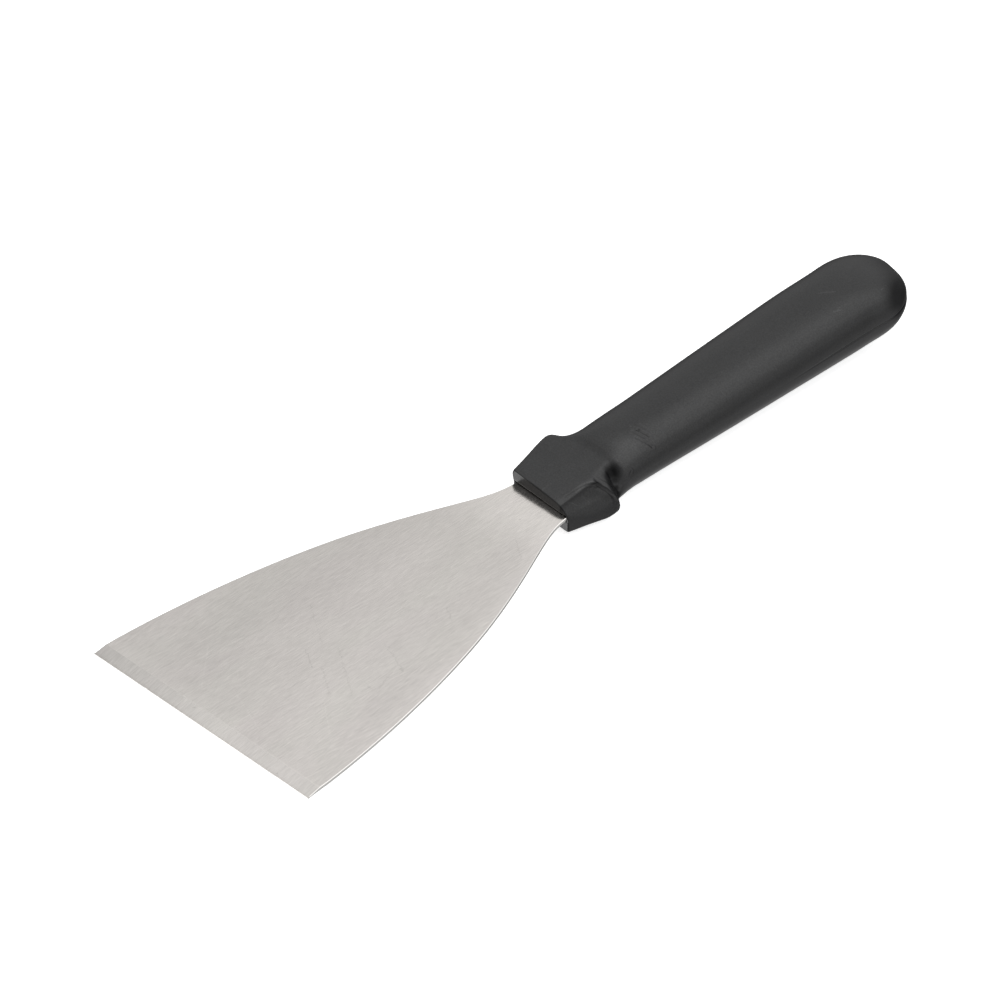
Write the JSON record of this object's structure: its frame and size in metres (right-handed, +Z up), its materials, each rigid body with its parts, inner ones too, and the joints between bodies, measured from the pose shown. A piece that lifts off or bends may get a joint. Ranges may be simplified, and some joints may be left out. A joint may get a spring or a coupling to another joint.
{
  "type": "bench scraper",
  "caption": "Long-handled bench scraper: flared flat stainless blade with a ground working edge, its tang moulded into a black plastic handle with a flared collar and rounded butt.",
  "frame": {"origin": "middle of the working edge, on the blade's flat underside", "axes": "+X along the working edge, +Y from the edge along the tool to the butt of the handle, +Z up out of the ground (bevelled) face of the blade"},
  "size_m": [0.0762, 0.2514, 0.0176],
  "materials": {
    "blade_steel": "fine brushed along the blade, ground bevel at the edge",
    "handle_plastic": "fine textured satin black"
  },
  "bodies": {
    "root": {"blade": "blade_steel", "handle": "handle_plastic"}
  },
  "joints": []
}
